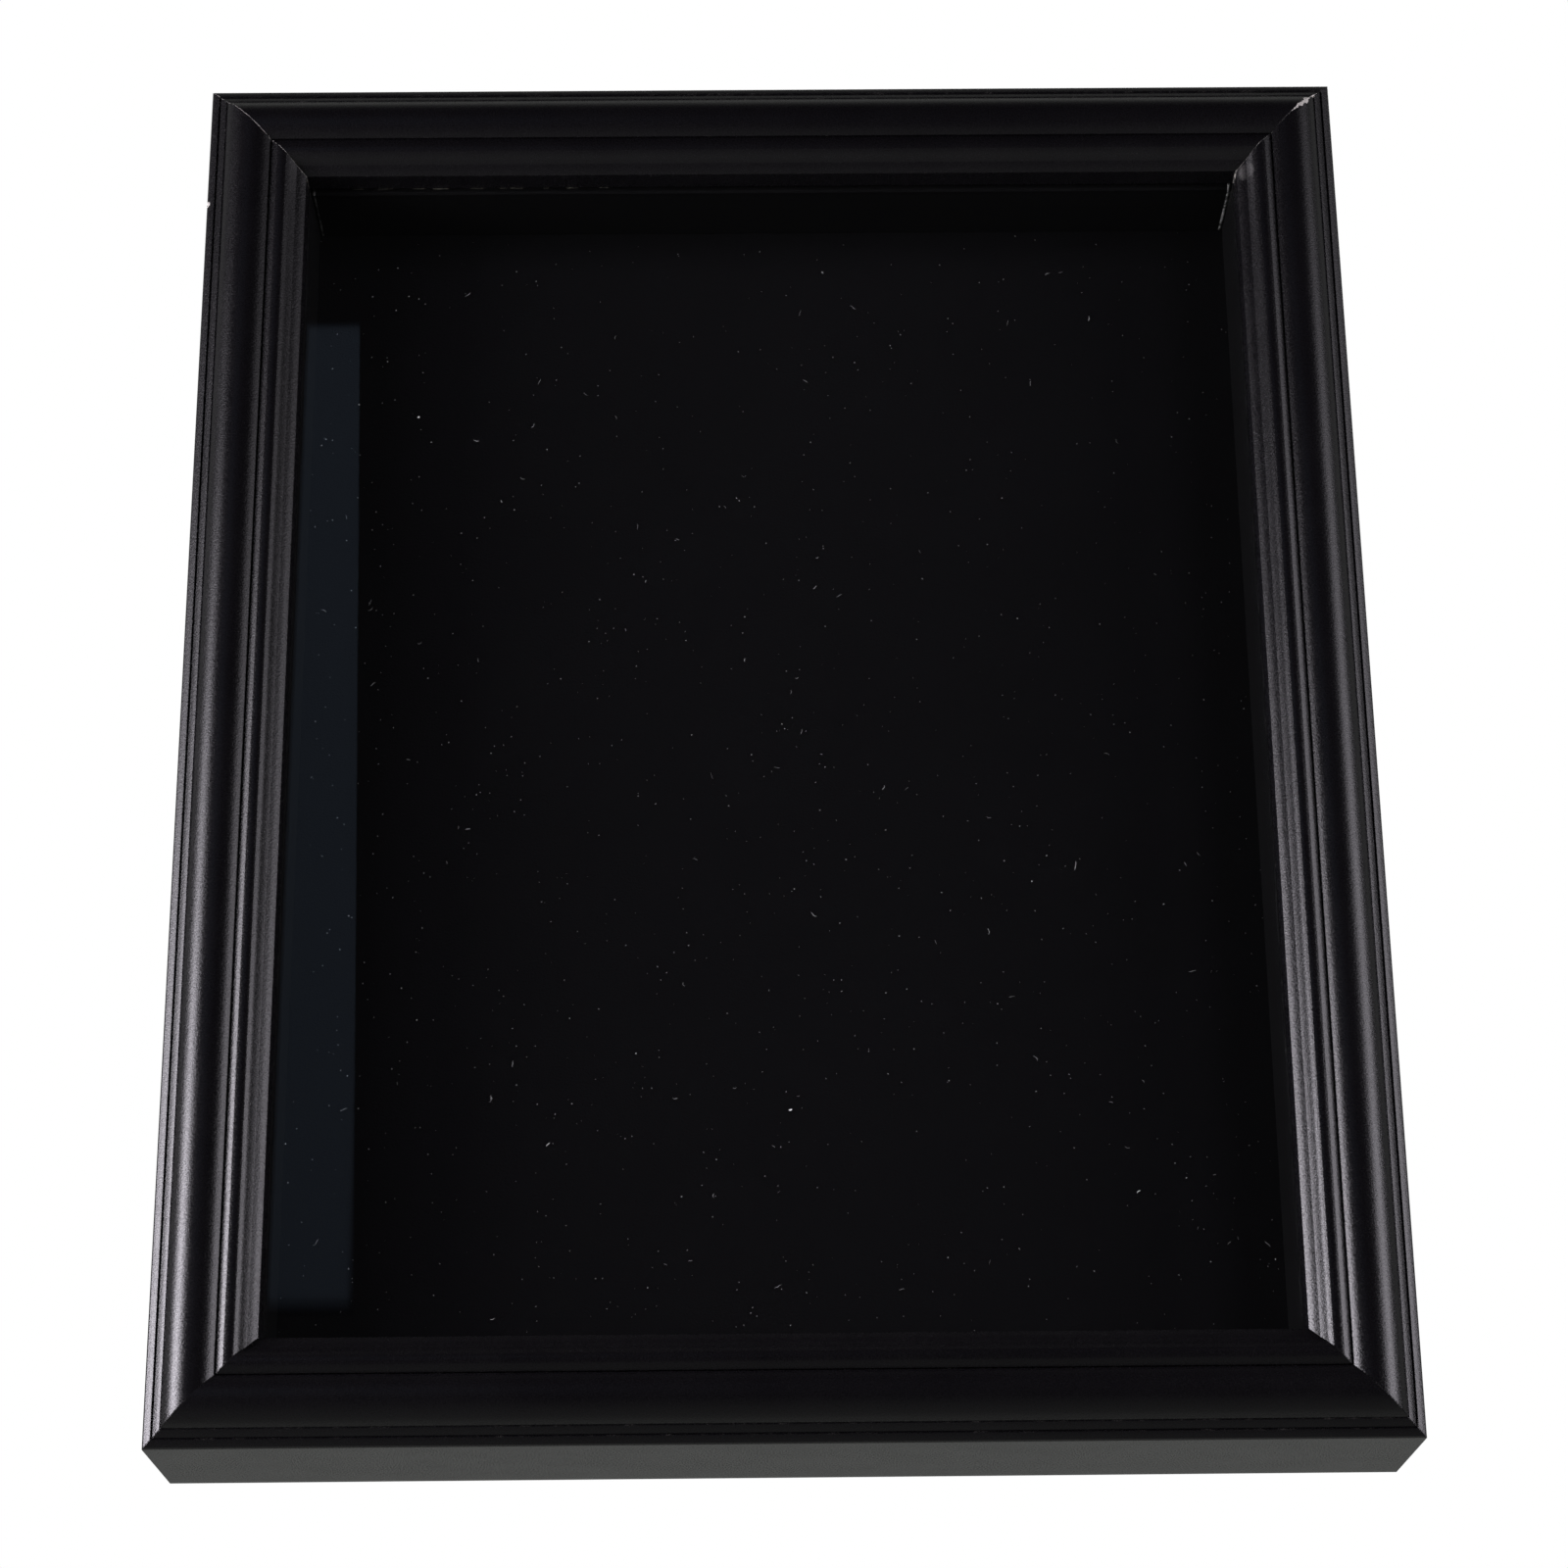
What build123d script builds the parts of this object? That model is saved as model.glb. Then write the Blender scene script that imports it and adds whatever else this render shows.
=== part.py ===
"""Shadow box for 8 x 10 inch displays: a mitred, moulded frame that holds glass, spacer walls and a velvet panel.

Everything is drawn lying on its back: x across, y up the display, z from the back plane towards the viewer.
stand_up() then turns each piece to the part's own frame: +Z up, the display facing -Y, and the origin at the
bottom centre of the whole box. Sizes are in millimetres.
"""
from build123d import *
import math
import os

# Driving dimensions.
FRAME_WIDTH = 235.0
FRAME_HEIGHT = 286.0
SIDE_DEPTH = 35.0       # back plane to the outer front edge
RAIL_WIDTH = 20.4       # outer face to the sight edge of the lip
WALL = 15.1             # outer face to the rabbet wall
LIP_UNDERSIDE = 30.0    # back plane to the face that the glass rests against
GLASS_WIDTH = 203.2     # 8 in
GLASS_HEIGHT = 254.0    # 10 in
GLASS_THICK = 2.0
PANEL_FRONT = 10.0      # back plane to the face of the velvet
CLEARANCE = 0.1         # face to face, between loose pieces

# Recess around the back opening, where the turn buttons and hangers sit below the back plane.
LEDGE_START = 7.0
LEDGE_DEPTH = 3.2

# Front moulding, from the outer face inwards: two narrow bands, a big round, a bead, a cove and a sight bevel.
# Each point is (distance in from the outer face, distance from the back plane).
CROWN = 39.5            # back plane to the top of the big round, which is the whole depth of the box
OUTER_ARRIS = 0.25
OUTER_BAND = [(OUTER_ARRIS, 35.13), (1.6, 35.85)]
BAND_GROOVE = (1.78, 35.55)
INNER_BAND = [(1.98, 35.8), (3.3, 36.65)]
BAND_SAG = 0.05
BAND_STEP = (3.45, 36.55)
ROUND_CENTRE = 8.65
ROUND_RADIUS = 6.15
ROUND_START = 3.65
ROUND_END = 12.95
QUIRK = [(13.03, 36.95), (13.15, 36.95)]
BEAD_FOOT = (13.2, 37.58)
BEAD_FOOT_SAG = 0.06
BEAD_TOP = 38.5
BEAD_CENTRE = 15.37
BEAD_RADIUS = 2.26
BEAD_START = 14.6
BEAD_END = 16.45
BEAD_HEEL = (17.45, 37.37)
BEAD_HEEL_SAG = 0.07
COVE_END = (18.5, 36.25)
COVE_SAG = -0.03
SIGHT_TOP = 34.95
SIGHT_SAG = 0.1
BACK_EDGE_CHAMFER = 0.4

# Spacer walls.
SPACER_THICK = 5.2
SPACER_GAP = 0.25
SPACER_EDGE = 0.4

# Velvet panel, front to back: pile fabric, foam, board. The fabric turns over the board's back.
PANEL_GAP = 0.7
PILE_THICK = 0.8
FOAM_THICK = 2.4
BOARD_THICK = 2.9
TURNOVER_THICK = 0.6
TURNOVER_WIDTH = 12.0
FABRIC_SLACK = 0.1

# Turn buttons and their screws.
BUTTON_INSET = 4.0      # pivot to the rabbet wall
BUTTON_SPACING = 75.0   # pivots above and below the middle of each long rail
BUTTON_WIDTH = 7.5
BUTTON_REACH = 17.0
BUTTON_THICK = 1.0
BUTTON_BEND = 14.0      # where the finger lip starts
BUTTON_LIFT = 0.9
BUTTON_BORE = 1.6
SCREW_RADIUS = 1.55
SCREW_HEAD_RADIUS = 2.9
SCREW_HEAD_HEIGHT = 1.5
SCREW_DOME = 0.7
SCREW_LENGTH = 10.0
SCREW_POINT = 2.5
SCREW_SLOT = (3.6, 0.8, 0.9)

# Sawtooth hangers and their nails.
HANGER_LENGTH = 42.0
HANGER_WIDTH = 7.0
HANGER_THICK = 0.7
HANGER_LUG = 8.0
HANGER_RISE = 1.4
HANGER_SLOPE = 2.0
HANGER_MARGIN = 0.4     # ledge wall to the hanger's plain edge
HANGER_TEETH = 9
TOOTH_DEPTH = 1.4
NAIL_RADIUS = 0.8
NAIL_HEAD_RADIUS = 1.7
NAIL_HEAD_HEIGHT = 0.6
NAIL_LENGTH = 8.0
NAIL_POINT = 1.5

# Steel V-nails across the mitres.
V_NAIL_PLACE = 10.0     # from both outer faces to the point of the V
V_NAIL_LEG = 5.5
V_NAIL_THICK = 0.5
V_NAIL_HEIGHT = 9.0
V_NAIL_PROUD = 0.1
V_NAIL_HALF_ANGLE = 60.0


def stand_up(shape):
    """Turns a piece drawn on its back to the part's own frame."""
    return Pos(0, CROWN / 2, FRAME_HEIGHT / 2) * Rot(90, 0, 0) * shape


def box(width, height, low, high, x=0.0, y=0.0):
    """A block of a width and height about (x, y), between two distances from the back plane."""
    return Pos(x, y, (low + high) / 2) * Box(width, height, high - low)


def on_arc(centre, top, radius, across):
    """The point at `across` on a round whose crown is `top` above the back plane."""
    return (across, top - radius + math.sqrt(radius**2 - (across - centre) ** 2))


def bowed(start, end, sag):
    """A shallow arc between two profile points that bows `sag` towards the viewer, or away if negative."""
    run = (end[0] - start[0], end[1] - start[1])
    length = math.hypot(*run)
    middle = (
        (start[0] + end[0]) / 2 - run[1] / length * sag,
        (start[1] + end[1]) / 2 + run[0] / length * sag,
    )
    return ThreePointArc(start, middle, end)


def moulding_profile():
    """The rail's section as (distance in from the outer face, distance from the back plane)."""
    round_start = on_arc(ROUND_CENTRE, CROWN, ROUND_RADIUS, ROUND_START)
    round_end = on_arc(ROUND_CENTRE, CROWN, ROUND_RADIUS, ROUND_END)
    bead_start = on_arc(BEAD_CENTRE, BEAD_TOP, BEAD_RADIUS, BEAD_START)
    bead_end = on_arc(BEAD_CENTRE, BEAD_TOP, BEAD_RADIUS, BEAD_END)
    sight_edge = (RAIL_WIDTH, SIGHT_TOP)
    back = [
        sight_edge,
        (RAIL_WIDTH, LIP_UNDERSIDE),
        (WALL, LIP_UNDERSIDE),
        (WALL, LEDGE_DEPTH),
        (LEDGE_START, LEDGE_DEPTH),
        (LEDGE_START, 0.0),
        (BACK_EDGE_CHAMFER, 0.0),
        (0.0, BACK_EDGE_CHAMFER),
        (0.0, SIDE_DEPTH - OUTER_ARRIS),
        OUTER_BAND[0],
    ]
    edges = [
        bowed(*OUTER_BAND, BAND_SAG),
        Polyline(OUTER_BAND[1], BAND_GROOVE, INNER_BAND[0]),
        bowed(*INNER_BAND, BAND_SAG),
        Polyline(INNER_BAND[1], BAND_STEP, round_start),
        ThreePointArc(round_start, (ROUND_CENTRE, CROWN), round_end),
        Polyline(round_end, *QUIRK, BEAD_FOOT),
        bowed(BEAD_FOOT, bead_start, BEAD_FOOT_SAG),
        ThreePointArc(bead_start, (BEAD_CENTRE, BEAD_TOP), bead_end),
        bowed(bead_end, BEAD_HEEL, BEAD_HEEL_SAG),
        bowed(BEAD_HEEL, COVE_END, COVE_SAG),
        bowed(COVE_END, sight_edge, SIGHT_SAG),
        Polyline(*back),
    ]
    return make_face(Curve() + edges)


def rail(length, reach, turn):
    """One mitred rail: its outer face lies `reach` from the middle, turned about the middle."""
    section = Plane.YZ * moulding_profile()
    bar = extrude(Pos(0, -reach, 0) * section, amount=length / 2, dir=(1, 0, 0), both=True)
    cut = RAIL_WIDTH + 1.0
    plan = Polyline(
        (-length / 2, -reach),
        (length / 2, -reach),
        (length / 2 - cut, -reach + cut),
        (-length / 2 + cut, -reach + cut),
        close=True,
    )
    mitre = extrude(make_face(plan), amount=CROWN)
    return Rot(0, 0, turn) * (bar & mitre)


def rails():
    """The four rails, each with a hole of every fastener's own shape where one is driven into it."""
    fasteners = [turn_button_screws(), hanger_nails(), corner_v_nails()]
    plain = {
        "bottom_rail": rail(FRAME_WIDTH, FRAME_HEIGHT / 2, 0),
        "right_rail": rail(FRAME_HEIGHT, FRAME_WIDTH / 2, 90),
        "top_rail": rail(FRAME_WIDTH, FRAME_HEIGHT / 2, 180),
        "left_rail": rail(FRAME_HEIGHT, FRAME_WIDTH / 2, 270),
    }
    return {name: shape - fasteners for name, shape in plain.items()}


def glass_pane():
    pane = box(GLASS_WIDTH, GLASS_HEIGHT, LIP_UNDERSIDE - CLEARANCE - GLASS_THICK, LIP_UNDERSIDE - CLEARANCE)
    return chamfer(pane.edges(), 0.25)


def spacers():
    """Wall strips between the glass and the panel: the long pair runs full height, the short pair fits between."""
    low = PANEL_FRONT + CLEARANCE
    high = LIP_UNDERSIDE - 2 * CLEARANCE - GLASS_THICK
    inset = WALL + SPACER_GAP + SPACER_THICK / 2
    x = FRAME_WIDTH / 2 - inset
    y = FRAME_HEIGHT / 2 - inset
    tall = FRAME_HEIGHT - 2 * (WALL + SPACER_GAP)
    wide = FRAME_WIDTH - 2 * (WALL + SPACER_GAP + SPACER_THICK + CLEARANCE)

    def strip(width, height, at_x, at_y):
        return chamfer(box(width, height, low, high, at_x, at_y).edges(), SPACER_EDGE)

    return {
        "left_spacer": strip(SPACER_THICK, tall, -x, 0),
        "right_spacer": strip(SPACER_THICK, tall, x, 0),
        "bottom_spacer": strip(wide, SPACER_THICK, 0, -y),
        "top_spacer": strip(wide, SPACER_THICK, 0, y),
    }


def velvet_panel():
    """The removable back: fabric wrapped around foam and a board, glued down behind."""
    width = FRAME_WIDTH - 2 * (WALL + PANEL_GAP)
    height = FRAME_HEIGHT - 2 * (WALL + PANEL_GAP)
    foam_front = PANEL_FRONT - PILE_THICK
    foam_back = foam_front - FOAM_THICK
    board_back = foam_back - BOARD_THICK
    fabric_back = board_back - TURNOVER_THICK
    inner_width = width - 2 * PILE_THICK
    inner_height = height - 2 * PILE_THICK
    wrap = fillet(box(width, height, fabric_back, PANEL_FRONT).edges().filter_by(Axis.Z), 1.5)
    core = box(inner_width, inner_height, board_back, foam_front)
    window = box(
        inner_width - 2 * TURNOVER_WIDTH, inner_height - 2 * TURNOVER_WIDTH, fabric_back, board_back
    )
    core_width = inner_width - 2 * FABRIC_SLACK
    core_height = inner_height - 2 * FABRIC_SLACK
    return {
        "velvet_cover": wrap - core - window,
        "foam_pad": box(core_width, core_height, foam_back, foam_front),
        "back_board": box(core_width, core_height, board_back, foam_back),
    }


def button_places():
    """(x, y, angle) of each turn button, parked along its rail and pointing away from the middle."""
    x = FRAME_WIDTH / 2 - WALL + BUTTON_INSET
    return [(side * x, up * BUTTON_SPACING, up * 90) for side in (-1, 1) for up in (1, -1)]


def turn_button():
    """A stamped steel button, pivot at the origin, with a finger lip that bends away from the panel."""
    face = LEDGE_DEPTH - CLEARANCE
    back = face - BUTTON_THICK
    half = BUTTON_WIDTH / 2
    side = Polyline(
        (-half, face),
        (BUTTON_BEND, face),
        (BUTTON_REACH, face - BUTTON_LIFT),
        (BUTTON_REACH, back - BUTTON_LIFT),
        (BUTTON_BEND, back),
        (-half, back),
        close=True,
    )
    bent = extrude(Plane.XZ * make_face(side), amount=half, both=True)
    plan = Pos((BUTTON_REACH - half) / 2, 0) * SlotOverall(BUTTON_REACH + half, BUTTON_WIDTH)
    blank = extrude(plan, amount=LEDGE_DEPTH)
    return (bent & blank) - Cylinder(BUTTON_BORE, 3 * LEDGE_DEPTH)


def screw():
    """A pan-head wood screw, on its own axis, head down at the back and point up in the rail."""
    seat = LEDGE_DEPTH - 2 * CLEARANCE - BUTTON_THICK
    head = Pos(0, 0, seat - SCREW_HEAD_HEIGHT / 2) * Cylinder(SCREW_HEAD_RADIUS, SCREW_HEAD_HEIGHT)
    head = fillet(head.edges().group_by(Axis.Z)[0], SCREW_DOME)
    slot_length, slot_width, slot_depth = SCREW_SLOT
    slot = Pos(0, 0, seat - SCREW_HEAD_HEIGHT) * Box(slot_length, slot_width, 2 * slot_depth)
    head = head - slot - Rot(0, 0, 90) * slot
    low_end = (Align.CENTER, Align.CENTER, Align.MIN)
    shank = Pos(0, 0, seat) * Cylinder(SCREW_RADIUS, SCREW_LENGTH - SCREW_POINT, align=low_end)
    point = Pos(0, 0, seat + SCREW_LENGTH - SCREW_POINT) * Cone(SCREW_RADIUS, 0.2, SCREW_POINT, align=low_end)
    return head + shank + point


def turn_button_screws():
    return Compound([Pos(x, y, 0) * screw() for x, y, _ in button_places()])


def hanger():
    """A sawtooth hanger, centred on x, with its plain edge on y = 0 and its teeth towards -y."""
    flat = LEDGE_DEPTH
    half = HANGER_LENGTH / 2
    lug = half - HANGER_LUG
    bridge = lug - HANGER_SLOPE
    back = [(-half, 0.0), (-lug, 0.0), (-bridge, HANGER_RISE), (bridge, HANGER_RISE), (lug, 0.0), (half, 0.0)]
    outline = [(x, flat - rise) for x, rise in back]
    outline += [(x, flat - rise - HANGER_THICK) for x, rise in reversed(back)]
    strip = extrude(Plane.XZ * make_face(Polyline(*outline, close=True)), amount=HANGER_WIDTH)
    pitch = 2 * bridge / HANGER_TEETH
    edge = -HANGER_WIDTH
    for tooth in range(HANGER_TEETH):
        left = -bridge + tooth * pitch
        notch = Polyline(
            (left, edge), (left + pitch, edge), (left + pitch / 2, edge + TOOTH_DEPTH), close=True
        )
        strip -= extrude(make_face(notch), amount=flat)
    for x in (-1, 1):
        strip -= Pos(x * nail_offset(), -HANGER_WIDTH / 2) * Cylinder(NAIL_RADIUS + CLEARANCE, 3 * flat)
    return fillet(strip.edges().filter_by(Axis.Z).group_by(Axis.X)[0], 1.5)


def nail_offset():
    """A hanger nail's distance from the hanger's middle."""
    return (HANGER_LENGTH - HANGER_LUG) / 2


def nail():
    """A hanger nail on its own axis, head at the back."""
    seat = LEDGE_DEPTH - HANGER_THICK
    low_end = (Align.CENTER, Align.CENTER, Align.MIN)
    head = Pos(0, 0, seat - NAIL_HEAD_HEIGHT) * Cylinder(NAIL_HEAD_RADIUS, NAIL_HEAD_HEIGHT, align=low_end)
    head = fillet(head.edges().group_by(Axis.Z)[0], NAIL_HEAD_HEIGHT / 2)
    shank = Pos(0, 0, seat) * Cylinder(NAIL_RADIUS, NAIL_LENGTH - NAIL_POINT, align=low_end)
    point = Pos(0, 0, seat + NAIL_LENGTH - NAIL_POINT) * Cone(NAIL_RADIUS, 0.1, NAIL_POINT, align=low_end)
    return head + shank + point


def hanger_places():
    """Where the two hangers go: on the top rail for upright use, on the right rail for use on its side."""
    inset = LEDGE_START + HANGER_MARGIN
    return {
        "top_hanger": Pos(0, FRAME_HEIGHT / 2 - inset),
        "side_hanger": Pos(FRAME_WIDTH / 2 - inset, 0) * Rot(0, 0, 270),
    }


def hanger_nails():
    seats = [Pos(side * nail_offset(), -HANGER_WIDTH / 2) for side in (-1, 1)]
    return Compound([place * seat * nail() for place in hanger_places().values() for seat in seats])


def v_nail():
    """A V-nail for the corner at +x +y: two thin legs that meet on the mitre, driven in from the ledge."""
    low = LEDGE_DEPTH - V_NAIL_PROUD
    legs = []
    for side in (-1, 1):
        leg = Pos(V_NAIL_LEG / 2, 0, low + V_NAIL_HEIGHT / 2) * Box(V_NAIL_LEG, V_NAIL_THICK, V_NAIL_HEIGHT)
        legs.append(Rot(0, 0, 225 + side * V_NAIL_HALF_ANGLE) * leg)
    point = Pos(0, 0, low + V_NAIL_HEIGHT / 2) * Cylinder(V_NAIL_THICK / 2, V_NAIL_HEIGHT)
    return legs[0] + legs[1] + point


def corner_v_nails():
    x = FRAME_WIDTH / 2 - V_NAIL_PLACE
    y = FRAME_HEIGHT / 2 - V_NAIL_PLACE
    corners = [(x, y, 0), (-x, y, 90), (-x, -y, 180), (x, -y, 270)]
    return Compound([Pos(cx, cy, 0) * Rot(0, 0, turn) * v_nail() for cx, cy, turn in corners])


def nodes():
    """Every node of the shadow box, by name, still lying on its back."""
    made = {**rails(), **spacers(), **velvet_panel()}
    made["glass_pane"] = glass_pane()
    made["corner_v_nails"] = corner_v_nails()
    names = ("left_upper", "left_lower", "right_upper", "right_lower")
    for name, (x, y, angle) in zip(names, button_places(), strict=True):
        made[f"turn_button_{name}"] = Pos(x, y, 0) * Rot(0, 0, angle) * turn_button()
    made["turn_button_screws"] = turn_button_screws()
    for name, place in hanger_places().items():
        made[name] = place * hanger()
    made["hanger_nails"] = hanger_nails()
    return made


os.makedirs("parts", exist_ok=True)
for node_name, shape in nodes().items():
    export_step(stand_up(shape), f"parts/{node_name}.step")
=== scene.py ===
"""Looks of the shadow box: painted moulding, glass, velvet, hardware, and the light and camera that show them.

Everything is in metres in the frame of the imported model: +Z up, the display facing -Y.
"""
import math
import random

import bmesh
import bpy
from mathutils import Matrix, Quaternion, Vector, noise
from mathutils.bvhtree import BVHTree


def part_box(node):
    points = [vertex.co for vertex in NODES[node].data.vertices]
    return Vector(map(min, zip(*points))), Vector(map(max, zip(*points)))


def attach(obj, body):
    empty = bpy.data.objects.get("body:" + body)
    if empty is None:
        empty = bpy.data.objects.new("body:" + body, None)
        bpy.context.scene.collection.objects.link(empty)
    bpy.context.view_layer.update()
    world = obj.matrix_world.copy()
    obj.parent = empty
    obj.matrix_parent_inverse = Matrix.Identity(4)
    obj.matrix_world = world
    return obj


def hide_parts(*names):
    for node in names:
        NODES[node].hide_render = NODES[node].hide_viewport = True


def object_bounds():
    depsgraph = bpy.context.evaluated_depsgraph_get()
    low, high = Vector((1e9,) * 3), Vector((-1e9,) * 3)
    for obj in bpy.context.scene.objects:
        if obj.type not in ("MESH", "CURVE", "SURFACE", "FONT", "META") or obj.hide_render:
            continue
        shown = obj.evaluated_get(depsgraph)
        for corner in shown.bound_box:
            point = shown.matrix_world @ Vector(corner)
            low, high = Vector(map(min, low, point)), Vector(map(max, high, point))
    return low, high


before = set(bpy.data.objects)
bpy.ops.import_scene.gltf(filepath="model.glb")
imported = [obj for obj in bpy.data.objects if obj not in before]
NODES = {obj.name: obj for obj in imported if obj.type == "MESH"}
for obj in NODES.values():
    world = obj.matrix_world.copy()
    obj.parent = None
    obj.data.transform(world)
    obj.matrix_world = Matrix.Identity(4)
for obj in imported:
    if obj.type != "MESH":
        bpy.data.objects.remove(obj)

MM = 0.001
CAD_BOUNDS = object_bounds()
LOW, HIGH = CAD_BOUNDS
CENTRE = (LOW + HIGH) / 2
HALF = (HIGH - LOW) / 2
scene = bpy.context.scene

SPACERS = ("top_spacer", "bottom_spacer", "left_spacer", "right_spacer")


# ---------------------------------------------------------------- node helpers

class Shader:
    """The nodes of a material, or of a world, built by short calls. Inputs are numbers, colours or other
    nodes' sockets. A material's position is in metres, and a world's is a direction."""

    def __init__(self, name, world=False):
        self.owner = (bpy.data.worlds if world else bpy.data.materials).new(name)
        self.owner.use_nodes = True
        self.tree = self.owner.node_tree
        self.tree.nodes.clear()
        self.output = self.add("ShaderNodeOutputWorld" if world else "ShaderNodeOutputMaterial")
        self.position = self.add("ShaderNodeTexCoord").outputs["Generated" if world else "Object"]
        self.x, self.y, self.z = self.add("ShaderNodeSeparateXYZ", {0: self.position}).outputs

    def add(self, kind, inputs=None, **settings):
        node = self.tree.nodes.new(kind)
        for name, value in settings.items():
            setattr(node, name, value)
        for key, value in (inputs or {}).items():
            self.feed(node.inputs[key], value)
        return node

    def feed(self, socket, value):
        if isinstance(value, bpy.types.NodeSocket):
            self.tree.links.new(value, socket)
        elif socket.type == "RGBA" and len(value) == 3:
            socket.default_value = (*value, 1.0)
        else:
            socket.default_value = value

    def maths(self, operation, a, b=0.0):
        return self.add("ShaderNodeMath", {0: a, 1: b}, operation=operation).outputs[0]

    def times(self, first, *rest):
        for value in rest:
            first = self.maths("MULTIPLY", first, value)
        return first

    def noise(self, size, detail=2.0, stretch=(1, 1, 1), roughness=0.5):
        """Noise whose features are about `size` metres, drawn out along the axes that stretch shrinks."""
        place = self.add("ShaderNodeMapping", {"Vector": self.position, "Scale": stretch}).outputs[0]
        inputs = {"Vector": place, "Scale": 1 / size, "Detail": detail, "Roughness": roughness}
        return self.add("ShaderNodeTexNoise", inputs).outputs[0]

    def ramp(self, value, low, high, start=0.0, end=1.0, kind="SMOOTHSTEP"):
        """Goes from start, where value is low, to end, where it is high, and stays there beyond them."""
        inputs = {"Value": value, "From Min": low, "From Max": high, "To Min": start, "To Max": end}
        return self.add("ShaderNodeMapRange", inputs, interpolation_type=kind).outputs[0]

    def mix(self, share, a, b):
        """Colour a where share is 0, and b where it is 1."""
        return self.add("ShaderNodeMix", {0: share, 6: a, 7: b}, data_type="RGBA").outputs[2]

    def bump(self, height, distance, strength=1.0, normal=None):
        inputs = {"Height": height, "Distance": distance, "Strength": strength}
        if normal is not None:
            inputs["Normal"] = normal
        return self.add("ShaderNodeBump", inputs).outputs[0]

    def soft_edges(self, radius):
        """The normal with sharp edges rounded off."""
        return self.add("ShaderNodeBevel", {"Radius": radius}, samples=6).outputs[0]

    def edges(self, radius):
        """1 on sharp edges, falling to 0 about `radius` away from them."""
        flat = self.add("ShaderNodeNewGeometry").outputs["Normal"]
        inputs = {0: self.soft_edges(radius), 1: flat}
        turn = self.add("ShaderNodeVectorMath", inputs, operation="DOT_PRODUCT").outputs["Value"]
        return self.ramp(turn, 1.0, 0.85)

    def near(self, place, radius):
        """1 at a point, falling to 0 at `radius` from it."""
        inputs = {0: self.position, 1: place}
        gap = self.add("ShaderNodeVectorMath", inputs, operation="DISTANCE").outputs["Value"]
        return self.ramp(gap, radius, 0.5 * radius)

    def principled(self, **inputs):
        named = {key.replace("_", " "): value for key, value in inputs.items()}
        return self.add("ShaderNodeBsdfPrincipled", named).outputs[0]

    def finish(self, surface):
        self.tree.links.new(surface, self.output.inputs["Surface"])
        return self.owner


def dress(node, material):
    """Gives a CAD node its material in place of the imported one."""
    mesh = NODES[node].data
    mesh.materials.clear()
    mesh.materials.append(material)


def mesh_object(name, mesh, material):
    mesh.name = name
    mesh.materials.append(material)
    made = bpy.data.objects.new(name, mesh)
    scene.collection.objects.link(made)
    return made


# ---------------------------------------------------------------- materials

RAIL_WIDTH = 20.4 * MM
RAW_WOOD = (0.76, 0.73, 0.68)
HAIRLINE = 0.08 * MM                # half the width of the light line along a mitre
CORNER_LINE = 0.25 * MM             # and where that line runs back along the inner corner of the lip
LIP_CORNER = RAIL_WIDTH - 0.2 * MM
BEAD = (12.5 * MM, 13.5 * MM)       # from the outer edge, where the right mitre's line grows lighter
CHIP_GROWS = (2.2 * MM, 5.6 * MM)
CHIP_ENDS = (9.0 * MM, 6.0 * MM)
CHIP_WIDTH = 1.1 * MM
RABBET_MIDDLE = -0.5 * MM           # in y
RABBET_REACH = 12.5 * MM            # edges nearer to that than this are inside the box and don't wear
NICK = Vector((LOW.x + 0.2 * MM, LOW.y + 4.6 * MM, HIGH.z - 27.0 * MM))
# Centre of a lighter patch on the right rail's cove: worn paint, and a painted highlight where that wear
# catches the light.
WORN_HIGHLIGHT_SPOT = Vector((HIGH.x - 18.7 * MM, LOW.y + 3.0 * MM, HIGH.z - 21.3 * MM))


def mitre_marks(s):
    """How much bare wood shows on the upper mitres (a hairline on the left one, a chip and a fainter line on
    the right one), and how much of the dark seam shows along any mitre."""
    from_side = s.maths("SUBTRACT", HALF.x, s.maths("ABSOLUTE", s.x))
    from_end = s.maths("SUBTRACT", HALF.z, s.maths("ABSOLUTE", s.maths("SUBTRACT", s.z, CENTRE.z)))
    off = s.maths("ABSOLUTE", s.maths("SUBTRACT", from_side, from_end))
    upper = s.maths("GREATER_THAN", s.z, CENTRE.z)
    left = s.times(upper, s.maths("LESS_THAN", s.x, 0.0))
    right = s.times(upper, s.maths("GREATER_THAN", s.x, 0.0))
    patchy = s.ramp(s.noise(1.1 * MM, detail=3.0), 0.35, 0.62)
    corner = s.times(right, s.maths("GREATER_THAN", s.maths("MINIMUM", from_side, from_end), LIP_CORNER))
    width = s.ramp(corner, 0.0, 1.0, HAIRLINE, CORNER_LINE)
    hairline = s.times(s.maths("LESS_THAN", off, width), s.ramp(patchy, 0.0, 1.0, 0.15, 0.55))
    inner = s.ramp(from_side, *BEAD, 0.10, 0.6)
    inner = s.maths("ADD", inner, s.times(corner, 1.2))
    reach = s.times(s.ramp(from_side, *CHIP_GROWS), s.ramp(from_side, *CHIP_ENDS))
    edge = s.times(reach, s.ramp(s.noise(1.3 * MM, detail=4.0), 0.35, 0.65, 0.12 * MM, CHIP_WIDTH))
    chip = s.maths("LESS_THAN", off, edge)
    lines = s.maths("MAXIMUM", s.times(left, hairline), s.times(right, hairline, inner))
    seam = s.ramp(off, 0.09 * MM, 0.03 * MM)
    return s.maths("MAXIMUM", lines, s.times(right, chip)), seam


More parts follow.
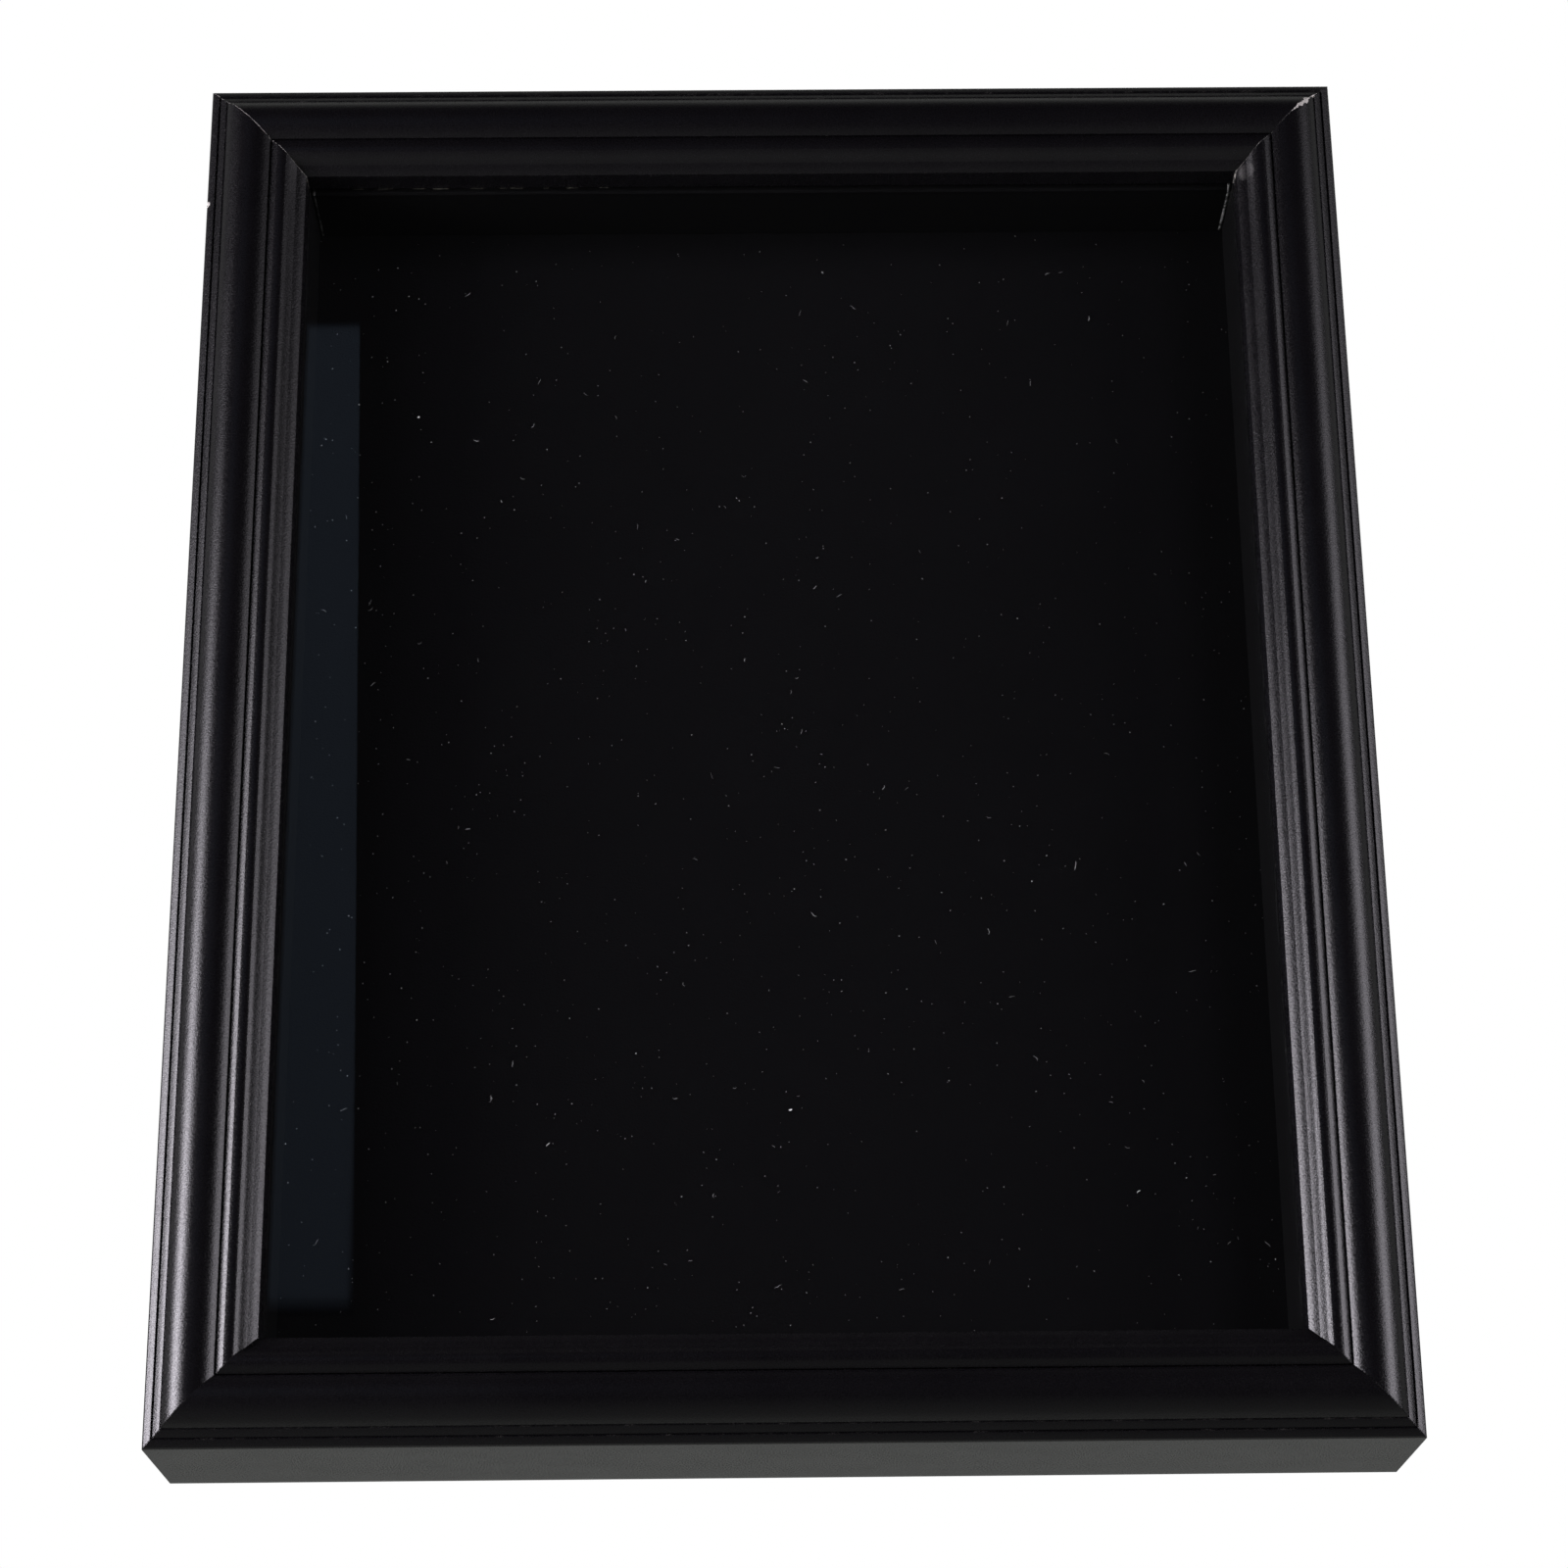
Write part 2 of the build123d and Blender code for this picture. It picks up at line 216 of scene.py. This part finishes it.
def painted_wood(name, along):
    """Satin black paint on wood whose grain runs along one axis: fine speckle, faint streaks, dust, and wear
    on the edges that hands can reach, which are those at the front and the back but not inside the rabbet."""
    s = Shader(name)
    stretch = tuple(0.04 if axis == along else 1.0 for axis in "XYZ")
    speckle = s.noise(0.38 * MM, detail=3.0, roughness=0.7)
    streaks = s.noise(1.6 * MM, detail=3.0, stretch=stretch)
    clouds = s.noise(14 * MM, detail=3.0)
    from_middle = s.maths("ABSOLUTE", s.maths("SUBTRACT", s.y, RABBET_MIDDLE))
    in_reach = s.maths("GREATER_THAN", from_middle, RABBET_REACH)
    wear = s.times(s.edges(0.3 * MM), in_reach, s.ramp(s.noise(2.5 * MM, detail=4.0), 0.5, 0.8), 0.7)
    dust = s.times(s.ramp(s.noise(0.9 * MM, detail=2.0, roughness=0.6), 0.74, 0.80), 0.12)
    bare, seam = mitre_marks(s)
    nick = s.near(NICK, 0.8 * MM)
    paint = s.mix(clouds, (0.0044, 0.0039, 0.0049), (0.0062, 0.0056, 0.0068))
    paint = s.mix(s.maths("MAXIMUM", wear, dust), paint, (0.09, 0.085, 0.08))
    # Worn paint and a painted highlight on the right rail's cove, just below the mitre.
    wear_and_highlight = s.times(s.near(WORN_HIGHLIGHT_SPOT, 2.4 * MM), s.ramp(streaks, 0.3, 0.7, 0.1, 0.7))
    paint = s.mix(wear_and_highlight, paint, (0.16, 0.155, 0.15))
    paint = s.mix(s.times(seam, 0.7), paint, (0.001, 0.001, 0.001))
    colour = s.mix(s.maths("MAXIMUM", bare, nick), paint, RAW_WOOD)
    rough = s.maths("ADD", s.ramp(speckle, 0.3, 0.7, 0.22, 0.31), s.ramp(clouds, 0.3, 0.7, -0.012, 0.012))
    rough = s.maths("ADD", rough, s.times(bare, 0.4))
    normal = s.bump(streaks, 0.05 * MM, 0.2, s.soft_edges(0.18 * MM))
    normal = s.bump(speckle, 0.06 * MM, 0.8, normal)
    surface = s.principled(Base_Color=colour, Roughness=rough, Normal=normal)
    return s.finish(surface)


GLASS_INDEX = 1.5


def clear_glass():
    """A thin pane: what is behind shows through, and each face mirrors by Fresnel's law. Rays aren't bent, so
    the far face has to mirror as the near one does, and its index is turned over."""
    s = Shader("clear_glass")
    see = s.add("ShaderNodeBsdfTransparent", {"Color": (0.985, 0.99, 0.988)}).outputs[0]
    haze = s.ramp(s.noise(9 * MM, detail=4.0), 0.4, 0.8, 0.0, 0.02)
    mirror = s.add("ShaderNodeBsdfGlossy", {"Color": (1, 1, 1), "Roughness": haze}).outputs[0]
    leaving = s.add("ShaderNodeNewGeometry").outputs["Backfacing"]
    index = s.ramp(leaving, 0.0, 1.0, GLASS_INDEX, 1 / GLASS_INDEX)
    share = s.add("ShaderNodeFresnel", {"IOR": index}).outputs[0]
    return s.finish(s.add("ShaderNodeMixShader", {0: share, 1: see, 2: mirror}).outputs[0])


CORE_WIDTH = 0.75 * MM


def spacer_card():
    """White-cored card faced with black paper. The core shows at the cut ends of the short strips, less on the
    left."""
    s = Shader("black_spacer_card")
    fibres = s.noise(0.5 * MM, detail=4.0)
    paper = s.mix(fibres, (0.0015, 0.0015, 0.0016), (0.0023, 0.0022, 0.0024))
    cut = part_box("top_spacer")[1].x
    across = s.maths("ABSOLUTE", s.x)
    near_cut = s.maths("GREATER_THAN", across, cut - CORE_WIDTH)
    within_strip = s.maths("LESS_THAN", across, cut + 0.01 * MM)
    dashes = s.ramp(s.noise(1.0 * MM, detail=3.0), 0.38, 0.6, 0.1, 1.0)
    side = s.maths("GREATER_THAN", s.x, 0.0)
    core = s.times(near_cut, within_strip, dashes, s.ramp(side, 0.0, 1.0, 0.10, 1.0))
    colour = s.mix(core, paper, (0.72, 0.71, 0.68))
    normal = s.bump(fibres, 0.05 * MM, 0.4)
    surface = s.principled(Base_Color=colour, Roughness=0.8, Normal=normal, Specular_IOR_Level=0.15)
    return s.finish(surface)


VELVET_SHEEN = 0.03
# How far below the top spacer the velvet gets painted shade: darker colour and less sheen.
PAINTED_SHADE_REACH = 12 * MM


def velvet():
    """Black pile: near black face on, with a soft sheen at a slant and clouded by the way the pile lies. Just
    under the top spacer it is painted darker and given less sheen, as painted shade from the spacer."""
    s = Shader("black_velvet")
    pile = s.noise(0.45 * MM, detail=3.0, roughness=0.75)
    nap = s.noise(25 * MM, detail=3.0)
    colour = s.mix(nap, (0.0017, 0.0016, 0.0019), (0.0022, 0.0021, 0.0025))
    # Painted shade under the top spacer: the colour darkens and the sheen fades towards the spacer.
    below_spacer = s.maths("SUBTRACT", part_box("top_spacer")[0].z, s.z)
    painted_shade = s.ramp(below_spacer, 0.0, PAINTED_SHADE_REACH, 0.7, 0.0)
    # The pile's own dark patches, together with the painted shade under the top spacer.
    pile_and_painted_shade = s.maths("MAXIMUM", painted_shade, s.ramp(pile, 0.55, 0.25, 0.0, 0.5))
    colour = s.mix(pile_and_painted_shade, colour, (0.0006, 0.0006, 0.0007))
    normal = s.bump(pile, 0.25 * MM, 0.7)
    # Less sheen in the painted shade under the top spacer.
    sheen = s.maths("SUBTRACT", VELVET_SHEEN, s.times(painted_shade, VELVET_SHEEN))
    surface = s.principled(Base_Color=colour, Roughness=0.9, Normal=normal, Specular_IOR_Level=0.1,
                           Sheen_Weight=sheen, Sheen_Roughness=0.4)
    return s.finish(surface)


def cotton_lint():
    s = Shader("cotton_lint")
    tone = s.noise(3 * MM, detail=2.0)
    colour = s.mix(tone, (0.50, 0.49, 0.48), (0.88, 0.87, 0.85))
    return s.finish(s.principled(Base_Color=colour, Roughness=0.9))


def metal(name, colour):
    """Plated sheet steel with fine scratches, dull patches and soft pressed edges."""
    s = Shader(name)
    scratches = s.noise(0.25 * MM, detail=4.0, stretch=(1, 1, 0.1))
    dull = s.noise(3 * MM, detail=4.0)
    rough = s.maths("ADD", s.ramp(scratches, 0.3, 0.7, 0.22, 0.36), s.ramp(dull, 0.4, 0.7, 0.0, 0.15))
    tone = s.mix(dull, colour, tuple(0.75 * channel for channel in colour))
    normal = s.bump(scratches, 0.02 * MM, 0.4, s.soft_edges(0.15 * MM))
    return s.finish(s.principled(Base_Color=tone, Metallic=1.0, Roughness=rough, Normal=normal))


def hardboard():
    """Brown pressed board with dark and pale fibres."""
    s = Shader("hardboard")
    fibres = s.noise(1.2 * MM, detail=6.0, roughness=0.7)
    clouds = s.noise(20 * MM, detail=3.0)
    colour = s.mix(s.ramp(fibres, 0.3, 0.7), (0.12, 0.06, 0.028), (0.26, 0.15, 0.075))
    colour = s.mix(s.ramp(clouds, 0.2, 0.9, 0.0, 0.4), colour, (0.18, 0.10, 0.05))
    normal = s.bump(fibres, 0.1 * MM, 0.5)
    return s.finish(s.principled(Base_Color=colour, Roughness=0.75, Normal=normal))


def foam_board():
    s = Shader("foam_board")
    cells = s.noise(0.5 * MM, detail=2.0)
    colour = s.mix(cells, (0.72, 0.71, 0.67), (0.82, 0.81, 0.78))
    return s.finish(s.principled(Base_Color=colour, Roughness=0.9, Normal=s.bump(cells, 0.1 * MM, 0.5)))


wood_across = painted_wood("black_paint_across", "X")
wood_up = painted_wood("black_paint_up", "Z")
for rail_name in ("top_rail", "bottom_rail"):
    dress(rail_name, wood_across)
for rail_name in ("left_rail", "right_rail"):
    dress(rail_name, wood_up)
card = spacer_card()
for spacer_name in SPACERS:
    dress(spacer_name, card)
dress("glass_pane", clear_glass())
dress("back_board", hardboard())
dress("foam_pad", foam_board())
zinc = metal("zinc_plated_steel", (0.60, 0.61, 0.62))
brass = metal("brassed_steel", (0.70, 0.50, 0.22))
for node_name in NODES:
    if node_name.startswith("turn_button"):
        dress(node_name, zinc)
dress("corner_v_nails", zinc)
dress("top_hanger", brass)
dress("side_hanger", brass)
dress("hanger_nails", brass)


# ---------------------------------------------------------------- velvet

PANEL_LOW, PANEL_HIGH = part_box("velvet_cover")
PANEL_CENTRE = (PANEL_LOW + PANEL_HIGH) / 2
PANEL_HALF = (PANEL_HIGH - PANEL_LOW) / 2
WRAP_RADIUS = 1.6 * MM
WEAVE_CELL = 4.0 * MM
TURNOVER = 12.0 * MM
FABRIC_THICK = 0.55 * MM
AIR_PRESSURE = 4.0
LAST_FRAME = 20
SWELL = 0.6 * MM
DENT_SIZE = 22 * MM
DENT_DEPTH = 0.12 * MM
FOLD_RISE = 0.7 * MM
ON_FACE = 0.1 * MM
PRESS_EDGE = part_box("right_spacer")[0].x - PANEL_CENTRE.x
PRESS_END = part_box("top_spacer")[0].z - PANEL_CENTRE.z


def grid_lines(half):
    """Symmetric places across a side: close together at the wrapped edge, and one at the turnover's edge."""
    inner = half - TURNOVER
    count = round(inner / WEAVE_CELL)
    places = [inner * step / count for step in range(1, count + 1)]
    places += [half - share * TURNOVER for share in (0.66, 0.33)]
    places += [half - WRAP_RADIUS, half - 0.3 * WRAP_RADIUS, half]
    return [-place for place in reversed(places)] + [0.0] + places


def wrapped_sheet():
    """The fabric's outer face, which is a thin box with rounded edges, open at the back inside the margin that
    is turned over."""
    through = [PANEL_HALF.y * share for share in (-1.0, -0.75, 0.0, 0.75, 1.0)]
    lines = [grid_lines(PANEL_HALF.x), through, grid_lines(PANEL_HALF.z)]
    core = PANEL_HALF - Vector((WRAP_RADIUS,) * 3)
    sheet = bmesh.new()
    corners = {}

    def vertex(place):
        if place not in corners:
            point = Vector(lines[axis][place[axis]] for axis in range(3))
            near = Vector(max(-core[axis], min(core[axis], point[axis])) for axis in range(3))
            corners[place] = sheet.verts.new(PANEL_CENTRE + near + (point - near).normalized() * WRAP_RADIUS)
        return corners[place]

    for fixed in range(3):
        a, b = [axis for axis in range(3) if axis != fixed]
        for end in (0, len(lines[fixed]) - 1):
            for i in range(len(lines[a]) - 1):
                for j in range(len(lines[b]) - 1):
                    across = abs(lines[a][i] + lines[a][i + 1]) / 2
                    upright = abs(lines[b][j] + lines[b][j + 1]) / 2
                    inside = across < PANEL_HALF.x - TURNOVER and upright < PANEL_HALF.z - TURNOVER
                    if fixed == 1 and end and inside:
                        continue
                    loop = []
                    for step_a, step_b in ((0, 0), (1, 0), (1, 1), (0, 1)):
                        place = [0, 0, 0]
                        place[fixed] = end
                        place[a] = i + step_a
                        place[b] = j + step_b
                        loop.append(vertex(tuple(place)))
                    sheet.faces.new(loop)
    bmesh.ops.recalc_face_normals(sheet, faces=sheet.faces)
    mesh = bpy.data.meshes.new("velvet_fabric")
    sheet.to_mesh(mesh)
    sheet.free()
    return mesh


def swell(fabric):
    """Presses the fabric out with air, held where it is glued behind and where the spacers bear on it."""
    held = fabric.vertex_groups.new(name="held")
    rest = [vertex.co.copy() for vertex in fabric.data.vertices]
    free = []
    for index, point in enumerate(rest):
        x, y, z = point - PANEL_CENTRE
        if y < -PANEL_HALF.y + ON_FACE and abs(x) < PRESS_EDGE and abs(z) < PRESS_END:
            free.append(index)
        else:
            held.add([index], 1.0, "REPLACE")
    cloth = fabric.modifiers.new("cloth", "CLOTH")
    cloth.settings.use_pressure = True
    cloth.settings.uniform_pressure_force = AIR_PRESSURE
    cloth.settings.vertex_group_mass = "held"
    cloth.settings.effector_weights.gravity = 0.0
    for step in range(1, LAST_FRAME + 1):
        scene.frame_set(step)
    graph = bpy.context.evaluated_depsgraph_get()
    moved = [vertex.co.copy() for vertex in fabric.evaluated_get(graph).data.vertices]
    fabric.modifiers.remove(cloth)
    scene.frame_set(1)
    for index in free:
        shift = moved[index] - rest[index]
        dent = noise.noise(rest[index] / DENT_SIZE) * DENT_DEPTH
        rise = SWELL * math.tanh(shift.length / SWELL)
        fabric.data.vertices[index].co = rest[index] + Vector((0, dent - rise, 0))


def raise_folds(fabric):
    """Raises the mitred folds at the back, which run across each corner of the turned-over margin."""
    for vertex in fabric.data.vertices:
        x, y, z = vertex.co - PANEL_CENTRE
        off_diagonal = abs((PANEL_HALF.x - abs(x)) - (PANEL_HALF.z - abs(z)))
        if y > PANEL_HALF.y - ON_FACE and off_diagonal < ON_FACE:
            vertex.co.y += FOLD_RISE


def apply_modifiers(thing):
    graph = bpy.context.evaluated_depsgraph_get()
    mesh = bpy.data.meshes.new_from_object(thing.evaluated_get(graph))
    thing.modifiers.clear()
    thing.data = mesh


def velvet_fabric():
    fabric = mesh_object("velvet_fabric", wrapped_sheet(), velvet())
    swell(fabric)
    raise_folds(fabric)
    thick = fabric.modifiers.new("thick", "SOLIDIFY")
    thick.thickness = FABRIC_THICK
    thick.offset = -1.0
    smooth = fabric.modifiers.new("smooth", "SUBSURF")
    smooth.levels = 1
    smooth.render_levels = 1
    apply_modifiers(fabric)
    fabric.data.shade_smooth()
    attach(fabric, "back_panel")
    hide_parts("velvet_cover")
    return fabric


def surface_of(thing):
    tree = bmesh.new()
    tree.from_mesh(thing.data)
    found = BVHTree.FromBMesh(tree)
    tree.free()
    return found


END_THINNING = 0.35


def add_fibre(mesh, points, radius):
    """A closed three-sided thread through a few points, thinner at both ends."""
    turns = [math.tau * step / 3 for step in range(3)]
    rings = []
    for index, point in enumerate(points):
        ahead = (points[min(index + 1, len(points) - 1)] - points[max(index - 1, 0)]).normalized()
        side = ahead.cross(Vector((0, 1, 0))).normalized()
        up = side.cross(ahead)
        size = radius * (END_THINNING if index in (0, len(points) - 1) else 1.0)
        rings.append([mesh.verts.new(point + size * (math.cos(t) * side + math.sin(t) * up)) for t in turns])
    for ring, following in zip(rings, rings[1:]):
        for step in range(3):
            other = (step + 1) % 3
            mesh.faces.new((ring[step], ring[other], following[other], following[step]))
    mesh.faces.new(rings[0])
    mesh.faces.new(list(reversed(rings[-1])))


LINT_COUNT = 1500
LINT_DRIFT = 0.85                   # below 1, so that more of it lies near the foot
FIBRE_SHARE = 0.06
FIBRE_POINTS = 5
# (x, z, length, radius) in millimetres of the largest pieces of lint.
LARGE_LINT = [
    (2.2, 70.1, 0.7, 0.20), (59.8, 121.3, 1.9, 0.07), (69.1, 52.7, 0.9, 0.12), (-45.8, 63.1, 1.0, 0.12),
    (-74.5, 221.7, 0.5, 0.18), (10.6, 255.8, 0.5, 0.15), (67.3, 243.5, 1.3, 0.06),
]


def lint(fabric):
    """White specks and short fibres lying on the velvet."""
    draw = random.Random(11)
    surface = surface_of(fabric)
    mesh = bmesh.new()
    spots = [tuple(value * MM for value in row) for row in LARGE_LINT]
    for _ in range(LINT_COUNT):
        x = draw.uniform(-PRESS_EDGE, PRESS_EDGE)
        z = PANEL_CENTRE.z + PRESS_END * (1 - 2 * draw.random() ** LINT_DRIFT)
        if draw.random() < FIBRE_SHARE:
            spots.append((x, z, draw.uniform(0.6, 1.6) * MM, draw.uniform(0.025, 0.045) * MM))
        else:
            length = draw.uniform(0.08, 0.28) * MM
            spots.append((x, z, length, length * draw.uniform(0.20, 0.38)))
    for x, z, length, radius in spots:
        heading = draw.uniform(0, math.tau)
        points = []
        place = Vector((x, LOW.y, z))
        for _ in range(FIBRE_POINTS):
            hit = surface.ray_cast(place, Vector((0, 1, 0)))[0]
            lift = radius * (1.0 + 0.8 * draw.random())
            points.append(Vector((place.x, hit.y - lift, place.z)))
            heading += draw.uniform(-0.7, 0.7)
            place += Vector((math.cos(heading), 0, math.sin(heading))) * length / (FIBRE_POINTS - 1)
        add_fibre(mesh, points, radius)
    made = bpy.data.meshes.new("lint")
    mesh.to_mesh(made)
    mesh.free()
    specks = mesh_object("lint", made, cotton_lint())
    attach(specks, "back_panel")
    return specks


def dried_glue():
    s = Shader("dried_glue")
    tone = s.ramp(s.noise(0.8 * MM, detail=3.0), 0.35, 0.7)
    colour = s.mix(tone, (0.02, 0.02, 0.014), (0.26, 0.25, 0.20))
    return s.finish(s.principled(Base_Color=colour, Roughness=0.6))


FLECKS_START = -88.0 * MM
FLECKS_END = -36.0 * MM
FLECK_POINTS = 7


def glue_flecks():
    """Dried flecks of glue along the corner between the glass and the underside of the top rail's lip."""
    draw = random.Random(5)
    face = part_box("glass_pane")[0].y
    ceiling = HIGH.z - RAIL_WIDTH
    mesh = bmesh.new()
    x = FLECKS_START
    while x < FLECKS_END:
        length = draw.uniform(0.5, 3.4) * MM
        radius = draw.uniform(0.03, 0.09) * MM
        points = []
        for step in range(FLECK_POINTS):
            along = x + length * step / (FLECK_POINTS - 1)
            drop = 0.10 * MM + radius * draw.uniform(0.6, 1.4)
            points.append(Vector((along, face - 0.8 * radius, ceiling - drop)))
        add_fibre(mesh, points, radius)
        x += length + draw.uniform(0.6, 4.5) * MM
    made = bpy.data.meshes.new("glue_flecks")
    mesh.to_mesh(made)
    mesh.free()
    flecks = mesh_object("glue_flecks", made, dried_glue())
    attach(flecks, "frame")


fabric_piece = velvet_fabric()
lint_piece = lint(fabric_piece)
glue_flecks()


# ---------------------------------------------------------------- camera

VIEW_AIM = Vector((1.1 * MM, LOW.y + 4.5 * MM, 129.1 * MM))
VIEW_DISTANCE = 0.7126
VIEW_AZIMUTH = math.radians(0.56)
VIEW_ELEVATION = math.radians(20.98)
VIEW_ROLL = math.radians(0.64)
VIEW_LENS = 83.72
SENSOR = 36.0


def make_camera():
    """Looks up at the upright box from below its middle. The photographed box lay on a table, seen from its
    foot."""
    data = bpy.data.cameras.new("camera")
    data.lens = VIEW_LENS
    data.sensor_width = SENSOR
    camera = bpy.data.objects.new("camera", data)
    scene.collection.objects.link(camera)
    ahead = Vector((
        math.sin(VIEW_AZIMUTH) * math.cos(VIEW_ELEVATION),
        math.cos(VIEW_AZIMUTH) * math.cos(VIEW_ELEVATION),
        math.sin(VIEW_ELEVATION),
    ))
    camera.location = VIEW_AIM - ahead * VIEW_DISTANCE
    camera.rotation_mode = "QUATERNION"
    roll = Quaternion((0, 0, 1), -VIEW_ROLL)
    camera.rotation_quaternion = ahead.to_track_quat("-Z", "Y") @ roll
    scene.camera = camera


make_camera()


# ---------------------------------------------------------------- light

def light_panel(name, corners, emission):
    """A quad that gives light and shows in reflections, but not to the camera. emission(shader) gives its
    strength and colour."""
    mesh = bpy.data.meshes.new(name)
    mesh.from_pydata(corners, [], [(0, 1, 2, 3)])
    s = Shader(name)
    strength, colour = emission(s)
    glow = s.add("ShaderNodeEmission", {"Color": colour, "Strength": strength}).outputs[0]
    panel = mesh_object(name, mesh, s.finish(glow))
    panel.visible_camera = False
    return panel


SOFTBOX_COLOUR = (1.0, 0.955, 1.045)
CARD_COLOUR = (0.56, 0.73, 1.0)
CARD_PLACE = -1.0
CARD_LEFT = -0.62
CARD_RIGHT_LOW, CARD_RIGHT_HIGH = -0.191, -0.204
CARD_LOW, CARD_HIGH = 0.25, 0.767


def softbox(name, azimuth, distance, width, low, high, fade, radiance, colour=SOFTBOX_COLOUR):
    """An upright panel that faces the box: azimuth 0 is in front, positive to the right. Its light fades out
    upwards from `fade` to `high`."""
    def emission(s):
        return s.ramp(s.z, fade, high, radiance, 0.0), colour

    half = width / 2
    corners = [(-half, 0, low), (half, 0, low), (half, 0, high), (-half, 0, high)]
    panel = light_panel(name, corners, emission)
    turn = math.radians(azimuth)
    panel.location = (math.sin(turn) * distance, -math.cos(turn) * distance, 0)
    panel.rotation_euler = (0, 0, turn)
    return panel


def lit_only(panel, receivers):
    """Limits a light to a few objects."""
    group = bpy.data.collections.new(f"{panel.name}_receivers")
    for receiver in receivers:
        group.objects.link(receiver)
    panel.light_linking.receiver_collection = group


def dim_card():
    """A dim blue-grey card far in front, whose right, upper and lower edges show softly in the glass."""
    foot_corners = [(CARD_LEFT, CARD_PLACE, CARD_LOW), (CARD_RIGHT_LOW, CARD_PLACE, CARD_LOW)]
    top_corners = [(CARD_RIGHT_HIGH, CARD_PLACE, CARD_HIGH), (CARD_LEFT, CARD_PLACE, CARD_HIGH)]

    def emission(s):
        level = s.ramp(s.z, 0.2, 0.8, 0.112, 0.135)
        top = s.ramp(s.z, CARD_HIGH, CARD_HIGH - 0.005)
        foot = s.ramp(s.z, CARD_LOW, CARD_LOW + 0.012)
        sides = s.times(s.ramp(s.x, -0.190, -0.196), top, foot)
        return s.times(level, sides), CARD_COLOUR

    return light_panel("dim_card", foot_corners + top_corners, emission)


ROOM_COLOUR = (0.99, 1.005, 0.975)
ROOM_IN_FRONT = 0.006
ROOM_BEHIND = 0.225
ROOM_BELOW = 0.17


def make_world():
    """White to the camera. As light it is dim in front, and pale behind the box, where the table would be, and
    below it."""
    s = Shader("studio", world=True)
    level = s.ramp(s.y, -0.35, 0.35, ROOM_IN_FRONT, ROOM_BEHIND)
    below = s.ramp(s.z, -0.2, -1.0, 0.0, ROOM_BELOW, kind="LINEAR")
    strength = s.maths("ADD", level, below)
    room = s.add("ShaderNodeBackground", {"Color": ROOM_COLOUR, "Strength": strength}).outputs[0]
    white = s.add("ShaderNodeBackground", {"Color": (1, 1, 1)}).outputs[0]
    seen = s.add("ShaderNodeLightPath").outputs["Is Camera Ray"]
    scene.world = s.finish(s.add("ShaderNodeMixShader", {0: seen, 1: room, 2: white}).outputs[0])


FLOOR_RADIUS = 4.0
FLOOR_LEVEL = LOW.z - 0.2 * MM
FLOOR_PAINT = (0.25, 0.25, 0.25)
FLOOR_GLOW = 0.82


def make_floor():
    """A pale floor that only the camera sees, and only from above, so that it never hides the box."""
    bpy.ops.mesh.primitive_circle_add(
        vertices=64, radius=FLOOR_RADIUS, fill_type="NGON", location=(0, 0, FLOOR_LEVEL))
    floor = bpy.context.object
    floor.name = "floor"
    s = Shader("pale_floor")
    pale = s.add("ShaderNodeBsdfDiffuse", {"Color": FLOOR_PAINT}).outputs[0]
    glow = s.add("ShaderNodeEmission", {"Color": (1, 1, 1), "Strength": FLOOR_GLOW}).outputs[0]
    lit = s.add("ShaderNodeAddShader", {0: pale, 1: glow}).outputs[0]
    clear = s.add("ShaderNodeBsdfTransparent").outputs[0]
    below = s.add("ShaderNodeNewGeometry").outputs["Backfacing"]
    surface = s.add("ShaderNodeMixShader", {0: below, 1: lit, 2: clear}).outputs[0]
    floor.data.materials.append(s.finish(surface))
    for ray in ("visible_diffuse", "visible_glossy", "visible_transmission", "visible_shadow"):
        setattr(floor, ray, False)


softbox("left_softbox", azimuth=-66.0, distance=0.9, width=0.36, low=-0.05, high=0.56, fade=0.1, radiance=20.2)
softbox("right_softbox", azimuth=61.0, distance=0.9, width=0.4, low=-0.05, high=0.87, fade=0.0, radiance=6.2)
# Low lights for the sunken velvet and its spacers alone, which leave the highlights in the paint as they are.
for side_name, azimuth in (("left", -44.0), ("right", 30.0)):
    glow = softbox(f"{side_name}_velvet_fill", azimuth, distance=1.0, width=0.28, low=-0.15, high=0.25,
                   fade=0.2, radiance=17.6)
    glow.visible_glossy = False
    lit_only(glow, (fabric_piece, lint_piece, *(NODES[spacer] for spacer in SPACERS)))
softbox("back_softbox", azimuth=160.0, distance=1.2, width=0.9, low=0.45, high=1.3, fade=1.2, radiance=3.0,
        colour=(1, 1, 1))
dim_card()
make_world()
make_floor()
scene.view_settings.view_transform = "Standard"
